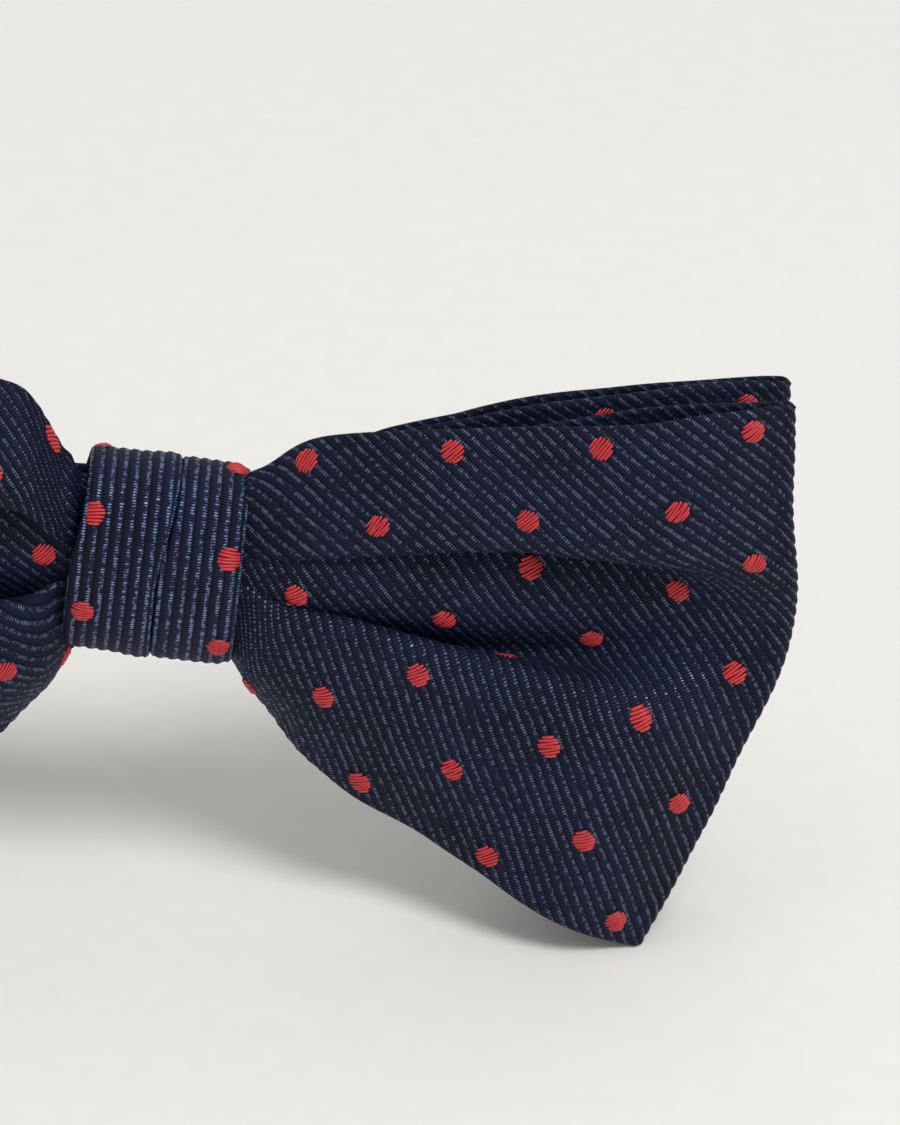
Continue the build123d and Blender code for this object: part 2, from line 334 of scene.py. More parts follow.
# ---------------------------------------------------------------- the bow's cloth
# Each bow is one flat tube of silk that runs across its front, turns back at the wing's end and
# closes behind. Across the tube, t is the distance from its top edge; l runs along a wing from
# the knot's edge. Three steps of the grid make one rib.
RIB_PITCH = 1.0
GRID = RIB_PITCH * math.sqrt(2) / 3
ACROSS = 128
HALF = 126
FOLD_STEPS = 7
TUBE_WIDTH = ACROSS * GRID
KNOT_EDGE = 7.75
WING_LENGTH = HALF * GRID - KNOT_EDGE
DROOP = math.radians(5.7)
AXIS_RISE = 0.3
WAIST_MIDDLE = 0.4

STATIONS = [0, 6, 13, 20, 27, 35, 44, 51.6]
PLEATS = {
    "upper_fold": [10.8, 12.0, 12.6, 12.6, 12.8, 13.8, 15.1, 15.4],
    "lower_fold": [50.2, 45.3, 43.2, 41.5, 39.3, 38.1, 35.6, 36.0],
    "turn": [165, 160, 152, 138, 114, 78, 36, 8],
    "tuck": [7.4, 4.8, 3.2, 1.8, 0.4, 0.0, 0.5, 2.7],
    "roundness": [2.0, 2.4, 3.0, 3.6, 4.4, 5.5, 6.5, 7.0],
    "bulge": [50, 50, 46, 40, 34, 24, 10, 0],
    "top_curl": [76, 36, 12, 10, 12, 10, 8, 0],
    "bottom_curl": [67, 66, 34, 20, 22, 13, 0, 0],
    "top": [10.2, 15.0, 18.0, 20.0, 21.8, 24.2, 27.0, 28.2],
    "bottom": [-7.7, -13.6, -18.2, -21.2, -23.6, -25.7, -28.7, -31.3],
    "valley": [-3.0, -3.3, -3.3, -3.4, -3.4, -3.1, -3.3, -3.9],
    "swell": [0.4, 0.9, 1.0, 1.0, 1.0, 1.0, 1.0, 0.8],
}
LEFT_PLEATS = {**PLEATS, "top": [11.0, 19.6, 22.8, 23.6, 24.2, 25.4, 27.2, 28.2]}
BACK_PLEATS = {
    **PLEATS,
    "top": [7.6, 10.9, 14.8, 17.3, 19.6, 21.4, 24.0, 26.2],
    "bottom": [-7.6, -12.0, -16.6, -20.0, -23.0, -25.6, -28.6, -31.2],
    "valley": [-3.4, -3.7, -3.6, -3.5, -3.4, -3.3, -3.4, -3.6],
    "swell": [0.3, 0.5, 0.6, 0.6, 0.55, 0.45, 0.3, 0.2],
}


def smoothed(line, reach):
    """A running mean over reach values to each side, weighted towards its middle."""
    kernel = np.hanning(2 * reach + 1)
    kernel = kernel / kernel.sum()
    return np.convolve(np.pad(line, reach, mode="edge"), kernel, mode="valid")


def along_wing(values, l):
    """A value that changes smoothly from station to station along the wing."""
    fine = np.arange(-8, WING_LENGTH + 8, 0.25)
    return np.interp(l, fine, smoothed(np.interp(fine, STATIONS, values), 15))


def pleated_wing(pleats, l):
    """The middle of a ply that is gathered into two overhanging pleats: X, Y, Z for each l and t."""
    t = np.arange(ACROSS + 1)[None, :] * GRID
    p = {key: along_wing(values, l)[:, None] for key, values in pleats.items()}
    upper, lower, soft, tuck = p["upper_fold"], p["lower_fold"], p["roundness"], p["tuck"]

    def ramp(centre):
        return eased((t - centre) / soft + 0.5)

    legs = ramp(upper) - ramp(upper + soft + tuck) - ramp(lower - soft - tuck) + ramp(lower)
    folds = np.radians(p["turn"]) * legs
    first, last = upper + soft + tuck, lower - soft - tuck
    middle_share = np.clip((t - first) / np.maximum(last - first, 1), 0, 1)
    bulge_share = np.clip((t - first + 2) / (last - first + 4), 0, 1)
    bulge = np.radians(p["bulge"]) * np.cos(math.pi * middle_share)
    folds = folds - bulge * np.sin(math.pi * bulge_share) ** 0.5
    curl = p["bottom_curl"] * eased((t - lower - soft / 2) / (TUBE_WIDTH - lower - soft / 2))
    curl = np.radians(curl - p["top_curl"] * (1 - eased(t / (upper - soft / 2))))
    height = p["top"] - p["bottom"]
    low = np.zeros_like(height)
    high = np.minimum(1.3, 176 / p["turn"])
    for _ in range(20):  # the folds close until the ply is as high as the wing
        middle = (low + high) / 2
        angle = folds * middle + curl
        down = np.cumsum(-np.cos(angle), axis=1) * GRID
        forward = np.cumsum(-np.sin(angle), axis=1) * GRID
        too_high = np.ptp(down, axis=1)[:, None] > height
        low = np.where(too_high, middle, low)
        high = np.where(too_high, high, middle)
    v = down - down.min(axis=1)[:, None]
    v = p["bottom"] + v / v.max(axis=1)[:, None] * height
    centre = np.argmin(abs(t - (upper + lower) / 2), axis=1)
    y = p["valley"] - (forward - forward[np.arange(len(l)), centre][:, None]) * p["swell"]
    step = np.diff(l)[:, None]
    run = 1 - (np.diff(v, axis=0) / step) ** 2 - (np.diff(y, axis=0) / step) ** 2
    run = np.array([smoothed(row, 20) for row in np.sqrt(np.clip(run, 0.25, 1))])
    u = np.cumsum(run * step, axis=0)
    u = KNOT_EDGE + np.vstack([np.zeros((1, ACROSS + 1)), u])
    return u, v, y


def plain_wing(l, end, top, bottom, depth, ripple):
    """A ply that hides between others: soft waves, and the same end edge as its partner's."""
    t = np.arange(ACROSS + 1)[None, :] / ACROSS
    end_u, end_v, end_y = end
    reach = (l / WING_LENGTH)[:, None]
    u = KNOT_EDGE + (end_u[None, :] - KNOT_EDGE) * reach
    high, low = along_wing(top, l)[:, None], along_wing(bottom, l)[:, None]
    v = high + (low - high) * t
    tail = eased((reach - 0.7) / 0.3)
    end_share = (end_v[None, :] - end_v[-1]) / (end_v[0] - end_v[-1])
    v = v * (1 - tail) + tail * (end_share * (high - low) + low)
    y = along_wing(depth, l)[:, None] + ripple * np.cos(4 * math.pi * t) * (1 - tail)
    y = y * (1 - tail) + tail * (end_y[None, :] + 0 * y)
    return u, v, y


def to_axes(u, v, y):
    """Wing axes, sloped down, to design axes."""
    x = u * math.cos(DROOP) + v * math.sin(DROOP)
    z = -u * math.sin(DROOP) + v * math.cos(DROOP) + KNOT_Z + AXIS_RISE
    return np.stack([x, y, z], -1)


def half_ply(wing):
    """A wing of a ply, and its half of the pressed stretch inside the knot."""
    inside = int(KNOT_EDGE / GRID)
    shares = np.arange(inside + 1)[:, None] * GRID / KNOT_EDGE
    waist = np.repeat(wing[:1], inside + 1, axis=0)
    waist[..., 0] *= shares
    opening = eased((shares - 0.84) / 0.16)
    waist[..., 1] = WAIST_MIDDLE + (waist[..., 1] - WAIST_MIDDLE) * (0.62 + 0.38 * opening)
    waist[..., 2] = KNOT_Z + (waist[..., 2] - KNOT_Z) * (0.76 + 0.24 * opening)
    return np.concatenate([waist, wing[1:]])


def whole_ply(right_wing, left_wing=None):
    """Both wings of a ply, from the left end to the right."""
    right = half_ply(right_wing)
    left = right if left_wing is None else half_ply(left_wing)
    return np.concatenate([left[:0:-1] * np.array([-1, 1, 1]), right])


def wing_rows():
    """Distances l of a wing's grid rows, with the knot's edge first."""
    rows = np.arange(int(KNOT_EDGE / GRID) + 1, HALF + 1) * GRID - KNOT_EDGE
    return np.concatenate([[0.0], rows])


def end_fold(ends, partner, outward):
    """The rounded turn from one ply's end to the other's."""
    middle, half = (ends + partner) / 2, (ends - partner) / 2
    size = np.linalg.norm(half, axis=-1, keepdims=True)
    outward = outward - half * (outward * half).sum(-1, keepdims=True) / size**2
    outward = unit(outward)
    angles = np.arange(1, FOLD_STEPS + 1)[:, None, None] * math.pi / (FOLD_STEPS + 1)
    return middle + half * np.cos(angles) + outward * size * np.sin(angles)


def bow_loop(front, back):
    """The closed grid of a bow: front ply left to right, right fold, back ply right to left, left fold."""
    right_out = unit(front[-1] - front[-4])
    left_out = unit(front[0] - front[3])
    right = end_fold(front[-1], back[-1], right_out)
    left = end_fold(back[0], front[0], left_out)
    return np.concatenate([front, right, back[::-1], left])


def loop_frames(middle):
    """Outward normals and downward edge directions on a closed loop of plies."""
    along = np.roll(middle, -1, axis=0) - np.roll(middle, 1, axis=0)
    down = unit(np.gradient(middle, axis=1))
    return unit(np.cross(down, along)), down


def loop_distance(count):
    """Distance along the tube at each row of the loop: zero in the middle of the front ply."""
    return (np.arange(count) - HALF) * GRID


def from_waist(count):
    """Distance along the tube from the nearer waist, at each row of the loop."""
    half_loop = (2 * HALF + 1 + FOLD_STEPS) * GRID
    return abs(np.mod(loop_distance(count) + half_loop / 2, half_loop) - half_loop / 2)


def ply_thickness(count):
    """Half the tube's thickness at each row: pressed thin in the knot, fuller at the wings' ends."""
    return np.interp(from_waist(count), [0, 8, 25, 58], [0.26, 0.27, 0.33, 0.34])[:, None, None]


# The tube's inner face has every second column where the pleats fold, and fewer between them. Its
# interlining uses the same columns, so that it can't show through where the cloth curls tightly.
INNER_COLUMNS = np.array([
    *range(0, 16, 5), *range(16, 50, 2), *range(50, 70, 4), *range(70, 112, 2), *range(112, 129, 4)
])


def cloth_tube(name, middle, material):
    """The folded tube of silk about its middle surface, with real ribs on its outside."""
    count = len(middle)
    normal, down = loop_frames(middle)
    half = ply_thickness(count)
    s = loop_distance(count)[:, None]
    t = np.arange(ACROSS + 1)[None, :] * GRID
    ridge = rib_height(rib_uv(s, t)[..., 0])[..., None]
    outer = middle + normal * (half + ridge)
    inner = (middle - normal * half)[:, INNER_COLUMNS[::-1]]
    turn = EDGE_TURN[None, :, None]
    reach = half + RIB_HEIGHT * 0.6 * np.sin(turn)
    rise = half * np.cos(turn)
    top = middle[:, :1] - down[:, :1] * reach * np.sin(turn) + normal[:, :1] * rise
    bottom = middle[:, -1:] + down[:, -1:] * reach * np.sin(turn) + normal[:, -1:] * rise
    ring = np.concatenate([inner, top, outer, bottom[:, ::-1]], axis=1)
    round_edge = EDGE_TURN * 0.45
    columns = np.concatenate([
        -1.4 - t[0, INNER_COLUMNS[::-1]], -round_edge, t[0], TUBE_WIDTH + round_edge[::-1], [TUBE_WIDTH + 1.4]
    ])
    rows = np.append(loop_distance(count), loop_distance(count)[-1] + GRID)
    uv = rib_uv(rows[:, None] + 0 * columns[None, :], columns[None, :] + 0 * rows[:, None])
    points, faces, loops = lattice(ring, uv, True, True)
    return new_object(name, points, faces.tolist(), loops, material)


LINING_INSET = 9
LINING_HALF = 0.09


def inner_ply(name, middle, material):
    """The interlining inside the tube: a thin strip that stops short of the tube's edges."""
    normal, _ = loop_frames(middle)
    kept = INNER_COLUMNS[(INNER_COLUMNS > LINING_INSET) & (INNER_COLUMNS < ACROSS - LINING_INSET)]
    core, face = middle[:, kept], normal[:, kept]
    ring = np.concatenate([core + face * LINING_HALF, (core - face * LINING_HALF)[:, ::-1]], axis=1)
    rows = np.arange(len(ring) + 1)[:, None] * GRID
    columns = np.arange(ring.shape[1] + 1)[None, :] * 2 * GRID
    uv = np.stack([rows + 0 * columns, columns + 0 * rows], -1)
    points, faces, loops = lattice(ring, uv, True, True)
    return new_object(name, points, faces.tolist(), loops, material)


# Woven dots: a square lattice turned by 45 degrees, 15 grid steps from column to column.
DOT_STEP = 15
DOT_RADIUS = 1.12
FLOAT_PITCH = 0.31
FLOAT_RISE = 0.31


def dot_centres(right_phase, left_phase, rows):
    """Grid positions (row, column) of a bow's dots, counted out from the front's middle each way."""
    centres = []
    half_loop = HALF + FOLD_STEPS // 2 + HALF
    for towards, (first, drop) in ((1, right_phase), (-1, left_phase)):
        for column in range(0, 40):
            distance = first / GRID + DOT_STEP * column
            if distance > half_loop:
                break
            for step in range(-1, 12):
                across = drop / GRID + DOT_STEP * (2 * step + column % 2)
                if 1.2 < across < ACROSS - 1.2:
                    centres.append(((HALF + towards * distance) % rows, across))
    return np.array(centres)


def sample(grid, row, column):
    """Values of a closed grid at fractional rows and columns."""
    rows = len(grid)
    a = np.floor(row).astype(int)
    b = np.clip(np.floor(column).astype(int), 0, grid.shape[1] - 2)
    fa, fb = (row - a)[..., None], np.clip(column - b, -0.5, 1.5)[..., None]
    first = grid[a % rows, b] * (1 - fb) + grid[a % rows, b + 1] * fb
    second = grid[(a + 1) % rows, b] * (1 - fb) + grid[(a + 1) % rows, b + 1] * fb
    return first * (1 - fa) + second * fa


def float_shapes(seed):
    """Offsets of one dot's satin floats: along the ribs, across them, and up; and the same for UVs."""
    rng = np.random.default_rng(seed)
    count = 7
    sections = np.array([-1.0, -0.86, -0.45, 0.0, 0.45, 0.86, 1.0])
    lift = np.array([0.0, 0.55, 0.93, 1.0, 0.93, 0.55, 0.0])
    profile = np.radians([180, 140, 90, 40, 0])
    along, across, up, side = [], [], [], []
    fan = rng.uniform(-0.2, 0.2)
    for k in range(count):
        offset = (k - (count - 1) / 2) * FLOAT_PITCH
        chord = math.sqrt(max(DOT_RADIUS**2 - offset**2, 0.12))
        chord = chord + rng.uniform(-0.05, 0.06)
        shift = rng.uniform(-0.04, 0.04)
        width = FLOAT_PITCH * rng.uniform(0.48, 0.58)
        lean = fan + rng.uniform(-0.08, 0.08)
        narrow = np.array([0.6, 0.9, 1, 1, 1, 0.9, 0.6])[:, None]
        sideways = offset + width * np.cos(profile)[None, :] * narrow
        lengthways = np.repeat((shift + chord * sections)[:, None], len(profile), axis=1)
        along.append(sideways * math.cos(lean) - lengthways * math.sin(lean))
        across.append(sideways * math.sin(lean) + lengthways * math.cos(lean))
        crest = FLOAT_RISE * (0.72 + 0.28 * math.sqrt(max(1 - (offset / DOT_RADIUS) ** 2, 0)))
        crest = crest * rng.uniform(0.8, 1.12)
        up.append(crest * lift[:, None] * np.sin(profile)[None, :])
        side.append(np.repeat(np.cos(profile)[None, :], len(sections), axis=0))
    return [np.array(values) for values in (along, across, up, side)]


def dots_object(name, centres, surface_at, material):
    """All the dots of a piece: surface_at(centre, along, across) gives the points and normals under one."""
    shapes = [float_shapes(seed) for seed in range(6)]
    points, faces, loops = [], [], []
    total = 0
    for number, centre in enumerate(centres):
        along, across, up, side = shapes[number % len(shapes)]
        ground, normal = surface_at(centre, along, across)
        solid = ground + normal * (0.05 + up[..., None])
        for k in range(len(solid)):
            rows, columns = solid[k].shape[:2]
            uv = np.stack([side[k], across[k]], -1)
            p, f, uvs = lattice(solid[k], uv, False, False)
            points.append(p)
            faces.append(f + total)
            loops.append(uvs)
            total += rows * columns
    faces = np.concatenate(faces)
    return new_object(name, np.concatenate(points), faces.tolist(), np.concatenate(loops), material)


def bow_dots(name, middle, right_phase, left_phase):
    """Dots on the outside of a bow's loop."""
    normal, _ = loop_frames(middle)
    half = ply_thickness(len(middle))
    outside = middle + normal * (half + RIB_HEIGHT * 0.55)
    centres = dot_centres(right_phase, left_phase, len(middle))

    def surface_at(centre, along, across):
        # Along the ribs is down and to the right; across them is up and to the right.
        row = centre[0] + (along + across) / math.sqrt(2) / GRID
        column = centre[1] + (along - across) / math.sqrt(2) / GRID
        return sample(outside, row, column), unit(sample(normal, row, column))

    return dots_object(name, centres, surface_at, RED)


def wing_end(u, v, y, shift):
    return u[-1], v[-1], y[-1] + shift


def behind_strap_limit(points):
    """Presses a ply forward where the neckband lies flat behind it."""
    z = abs(points[..., 2] - KNOT_Z)
    limit = 4.15 + 3.2 * eased((z - 8.4) / 3.5)
    gap = limit - points[..., 1]
    points[..., 1] = limit - 0.3 * np.logaddexp(0, gap / 0.3)
    return points


L_ROWS = wing_rows()
front_wings, inner_wings = [], []
for pleats in (PLEATS, LEFT_PLEATS):
    front_u, front_v, front_y = pleated_wing(pleats, L_ROWS)
    front_wings.append(to_axes(front_u, front_v, front_y))
    inner_wings.append(to_axes(*plain_wing(
        L_ROWS, wing_end(front_u, front_v, front_y, 1.1),
        top=[7.4, 10.0, 12.8, 15.8, 18.8, 22.0, 25.9, 28.1],
        bottom=[-7.4, -11.5, -16.0, -19.5, -22.6, -25.2, -28.4, -31.3],
        depth=[0.9, 2.1, 1.7, 0.7, 0.2, -0.6, -2.0, -2.8], ripple=0.1,
    )))
ply_1 = whole_ply(*front_wings)
ply_2 = whole_ply(*inner_wings)

back_u, back_v, back_depth = pleated_wing(BACK_PLEATS, L_ROWS)
back_y = -back_depth
back_u = KNOT_EDGE + (back_u - KNOT_EDGE) * 0.985
rear_end = wing_end(back_u, back_v, back_y, -1.2)
ply_3 = whole_ply(to_axes(*plain_wing(
    L_ROWS, rear_end,
    top=[7.6, 10.9, 14.8, 17.5, 20.4, 22.7, 25.1, 26.2], bottom=BACK_PLEATS["bottom"],
    depth=[1.9, 2.8, 2.5, 1.9, 1.6, 1.5, 1.7, 1.9], ripple=0.1,
)))
ply_4 = whole_ply(behind_strap_limit(to_axes(back_u, back_v, back_y)))

front_loop = bow_loop(ply_1, ply_2)
back_loop = bow_loop(ply_3, ply_4)

for side, loop, right_phase, left_phase in (
    ("front", front_loop, (KNOT_EDGE + 5.89, 1.63), (10.3, 1.4)),
    ("back", back_loop, (13.65, 1.9), (16.5, 9.0)),
):
    bow = cloth_tube(f"{side}_bow", loop, SILK)
    lining = inner_ply(f"{side}_bow_lining", loop, FELT)
    dots = bow_dots(f"{side}_bow_dots", loop, right_phase, left_phase)
    for piece, slot in ((bow, "dotted_silk"), (lining, "interlining"), (dots, "dotted_silk")):
        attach(piece, "bow")
    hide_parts(f"{side}_bow_cloth")
    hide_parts(f"{side}_bow_interlining")

# ---------------------------------------------------------------- the knot
knot_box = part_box("knot_band")
KNOT_WIDTH = (knot_box[1][0] - knot_box[0][0]) * 1000
KNOT_HALF_HEIGHT = (knot_box[1][2] - knot_box[0][2]) * 500
KNOT_BACK = knot_box[1][1] * 1000 - Y_SHIFT
KNOT_FRONT = -6.7
KNOT_RIB = 1.1
KNOT_ROWS = 168
FLAP_HALF = 0.36
WAIST_TURNS = 7
KNOT_LEAN, KNOT_SLOPE = 0.055, 0.075
# A rib phase inside the flank that carries the painted highlight.
PAINTED_GLINT_PHASE = 0.73
BAND_POWER = 2.15


def knot_profile():
    """The band's closed outline round the waist, in (y, z), evenly spaced, and its length."""
    angle = np.linspace(0, 2 * math.pi, 2000, endpoint=False)
    squareness = 2 / BAND_POWER
    depth = (KNOT_BACK - KNOT_FRONT) / 2
    height = KNOT_HALF_HEIGHT
    c, s = -np.cos(angle), np.sin(angle)
    y = (KNOT_BACK + KNOT_FRONT) / 2 + depth * np.sign(c) * abs(c) ** squareness
    z = height * np.sign(s) * abs(s) ** squareness
    closed = np.stack([np.append(y, y[0]), np.append(z, z[0])], -1)
    steps = np.append(0, np.cumsum(np.linalg.norm(np.diff(closed, axis=0), axis=1)))
    even = np.linspace(0, steps[-1], KNOT_ROWS, endpoint=False)
    line = np.stack([np.interp(even, steps, closed[:, 0]), np.interp(even, steps, closed[:, 1])], -1)
    return line, steps[-1]


def band_back(z):
    """How far back the band's outline is at a height."""
    depth = (KNOT_BACK - KNOT_FRONT) / 2
    return KNOT_FRONT + depth + depth * (1 - abs(z / KNOT_HALF_HEIGHT) ** BAND_POWER) ** (1 / BAND_POWER)


def knot_frames():
    """The band's outline with its outward directions, and its length."""
    line, length = knot_profile()
    tangent = unit(np.roll(line, -1, axis=0) - np.roll(line, 1, axis=0))
    outward = np.stack([-tangent[:, 1], tangent[:, 0]], -1)
    if (outward[0] * (line[0] - line.mean(axis=0))).sum() < 0:
        outward = -outward
    return line, outward, length


def knot_seam(z):
    """Where the lapping edge lies at each height: it leans a little."""
    return 0.1 + 1.0 * eased(z / KNOT_HALF_HEIGHT) - 0.3 * np.cos(z / KNOT_HALF_HEIGHT * 1.6)


def knot_outline_x(z, side):
    """The band's own edges: nearly straight, and a touch wider low down."""
    taper = 1.0 if side < 0 else 0.2
    return side * (KNOT_WIDTH / 2 - taper * eased(z / KNOT_HALF_HEIGHT) - 0.1 * np.cos(z / 5.0))


def lean(points):
    """The band sits a little askew on the bow."""
    x, z = points[..., 0].copy(), points[..., 2] - KNOT_Z
    points[..., 0] += KNOT_LEAN * z
    points[..., 2] -= KNOT_SLOPE * x
    return points


def knot_flap(name, side):
    """One half of the band: the left one laps over the right."""
    line, outward, length = knot_frames()
    z = line[:, 1]
    seam = knot_seam(z)
    if side < 0:
        left, right = knot_outline_x(z, -1), seam
    else:
        left, right = seam - 2.4, knot_outline_x(z, 1)
    columns = 64 if side < 0 else 72
    share = np.linspace(0, 1, columns + 1)[None, :]
    x = left[:, None] + (right - left)[:, None] * share
    ribs = x / KNOT_RIB + 0.15
    lift = 0.10 * eased(abs(z) / KNOT_HALF_HEIGHT)[:, None] * np.cos(x / KNOT_WIDTH * math.pi)
    lap = 0.44 - 0.26 * eased((abs(z) / KNOT_HALF_HEIGHT - 0.45) / 0.5)[:, None]
    if side < 0:
        lift = lift + lap * eased((x - seam[:, None] + 3.4) / 2.6)
    else:
        lift = lift - 0.5 * eased((seam[:, None] - x + 0.75) / 0.5)
    lift = lift - 0.25 * eased((abs(x) - KNOT_WIDTH / 2 + 1.2) / 1.2)
    ridge = rib_height(ribs) * 1.15
    y_n, z_n = outward[:, :1], outward[:, 1:]

    def at(x_values, height):
        return np.stack([
            x_values + 0 * height,
            line[:, :1] + y_n * (height - FLAP_HALF),
            KNOT_Z + line[:, 1:] + z_n * (height - FLAP_HALF),
        ], -1)

    outer = at(x, lift + FLAP_HALF + ridge)
    inner = at(x[:, ::-4], lift[:, ::-4] - FLAP_HALF)
    turn = EDGE_TURN[None, :]
    left_edge = at(x[:, :1] - FLAP_HALF * np.sin(turn), lift[:, :1] + FLAP_HALF * np.cos(turn))
    right_turn = turn[:, ::-1]
    right_height = lift[:, -1:] + FLAP_HALF * np.cos(right_turn)
    right_edge = at(x[:, -1:] + FLAP_HALF * np.sin(right_turn), right_height)
    ring = np.concatenate([inner, left_edge, outer, right_edge], axis=1)
    across = np.concatenate([
        x[:, ::-4] + 40, x[:, :1] - 0.4 * turn, x, x[:, -1:] + 0 * right_turn
    ], axis=1) / KNOT_RIB + 0.15
    fold = slice(-len(right_turn[0]), None)
    # Painted highlight: the right flap's folded edge gets the rib phase of the highlighted flank, so a bright
    # line is painted along the fold.
    across[:, fold] = np.round(across[:, fold]) + PAINTED_GLINT_PHASE
    across = np.concatenate([across, across[:, -1:] + 0.3], axis=1)
    across = np.concatenate([across, across[:1]])
    down = np.arange(KNOT_ROWS + 1)[:, None] * length / KNOT_ROWS + 0 * across
    points, faces, loops = lattice(lean(ring), np.stack([across, down], -1), True, True)
    obj = new_object(name, points, faces.tolist(), loops, KNOT_SILK)
    return obj, length


def knot_dots():
    """Dots on the band, in two columns near its edges, all the way round."""
    line, outward, length = knot_frames()
    centres = []
    spacing = 9.9
    front_start = length / KNOT_ROWS * np.argmin(abs(line[:, 1]) + 100 * (line[:, 0] > 0))
    for x, start in ((-6.3, 6.9), (6.7, 4.3)):
        for step in range(-2, 3):
            centres.append((x, front_start + start + step * spacing))

    def surface_at(centre, along, across):
        # The floats lie across the band's ribs, and their row runs down it.
        x = centre[0] + across
        row = (centre[1] + along) / length * KNOT_ROWS
        base = sample(line[:, None, :].repeat(2, axis=1), row, 0 * row)
        way = unit(sample(outward[:, None, :].repeat(2, axis=1), row, 0 * row))
        half_width = abs(knot_outline_x(base[..., 1], np.sign(centre[0]))) - 0.1
        over = np.clip(abs(x) - half_width, 0, 2)
        sink = 0.10 - 0.25 * eased((abs(x) - half_width + 1.0) / 1.2) - over * 1.2
        x = np.sign(x) * np.minimum(abs(x), half_width + 0.3 * np.tanh(over / 0.3))
        y = base[..., 0] + way[..., 0] * sink
        z = KNOT_Z + base[..., 1] + way[..., 1] * sink
        points = lean(np.stack([x, y, z], -1))
        side_turn = np.clip(over / 0.4, 0, 1)
        normal = np.stack([np.sign(x) * side_turn, way[..., 0], way[..., 1]], -1)
        return points, unit(normal)

    return dots_object("knot_dots", centres, surface_at, RED)


def knot_lining():
    """The interlining folded inside the band."""
    line, outward, length = knot_frames()
    x = np.linspace(-5.6, 5.6, 14)[None, :] + np.zeros((KNOT_ROWS, 1))
    outer, inner = (
        np.stack([x, 0 * x + layer[:, :1], 0 * x + layer[:, 1:] + KNOT_Z], -1)
        for layer in (line - outward * 0.95, line - outward * 1.2)
    )
    ring = lean(np.concatenate([outer, inner[:, ::-1]], axis=1))
    rows = np.arange(KNOT_ROWS + 1)[:, None] * length / KNOT_ROWS
    columns = np.arange(ring.shape[1] + 1)[None, :]
    uv = np.stack([columns + 0 * rows, rows + 0.0 * columns], -1)
    points, faces, loops = lattice(ring, uv, True, True)
    return new_object("knot_lining", points, faces.tolist(), loops, FELT)


def thread_tube(name, path, radius, body, replaced):
    """A sewing thread that follows a few points."""
    curve = bpy.data.curves.new(name, "CURVE")
    curve.dimensions = "3D"
    curve.bevel_depth = radius / 1000
    curve.bevel_resolution = 3
    curve.use_fill_caps = True
    spline = curve.splines.new("BEZIER")
    spline.bezier_points.add(len(path) - 1)
    for point, location in zip(spline.bezier_points, place(path)):
        point.co = location
        point.handle_left_type = point.handle_right_type = "AUTO"
    curve.materials.append(THREAD)
    obj = bpy.data.objects.new(name, curve)
    bpy.context.scene.collection.objects.link(obj)
    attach(obj, body)
    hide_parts(replaced)


def waist_turns():
    """Thread wound round the gathered cloth, under the knot."""
    angle = np.linspace(0, 2 * math.pi * WAIST_TURNS, WAIST_TURNS * 24 + 1)
    x = np.linspace(-1.3, 1.3, len(angle))
    depth, height = (KNOT_BACK - KNOT_FRONT) / 2 - 1.3, KNOT_HALF_HEIGHT - 1.4
    return np.stack([x, WAIST_MIDDLE - depth * np.cos(angle), KNOT_Z + height * np.sin(angle)], -1)


thread_tube("waist_thread_turns", waist_turns(), 0.2, "bow", "waist_thread")
left_flap, knot_length = knot_flap("knot_left_flap", -1)
right_flap, _ = knot_flap("knot_right_flap", 1)
band_dots = knot_dots()
band_lining = knot_lining()
stitch_path = []
for step in range(-5, 6):
    reach = 1.15 if step % 2 else -1.15
    rise = 1.2 * step
    stitch_path.append((0.96 * reach, band_back(rise) + 0.3, KNOT_Z + rise))
    stitch_path.append((reach, band_back(rise) - 0.1, KNOT_Z + rise + 0.2))
stitch_path = lean(np.array(stitch_path))
for piece in (left_flap, right_flap, band_dots, band_lining):
    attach(piece, "bow")
thread_tube("knot_stitch_row", stitch_path, 0.16, "bow", "knot_stitches")
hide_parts("knot_band")
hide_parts("knot_interlining")

# ---------------------------------------------------------------- the neckband
RUN_MIDDLE = [front + STRAP / 2 for front in RUN_FRONT]
FOLD_OUT = 56.0
FOLD_IN = 13.0
PIVOT = (33.5, 13.3)
RETURN_MIDDLE = 14.85


def arc(centre, radius, start, stop, count=14):
    """Points on an arc in plan, in degrees from +X towards +Y."""
    angles = np.radians(np.linspace(start, stop, count))
    return [(centre[0] + radius * math.cos(a), centre[1] + radius * math.sin(a)) for a in angles]


def dense(points, spacing=0.5):
    """More points along the straight runs of a plan path."""
    result = [points[0]]
    for a, b in zip(points[:-1], points[1:]):
        count = max(1, int(math.hypot(b[0] - a[0], b[1] - a[1]) / spacing))
        for k in range(1, count + 1):
            result.append((a[0] + (b[0] - a[0]) * k / count, a[1] + (b[1] - a[1]) * k / count))
    return np.array(result)


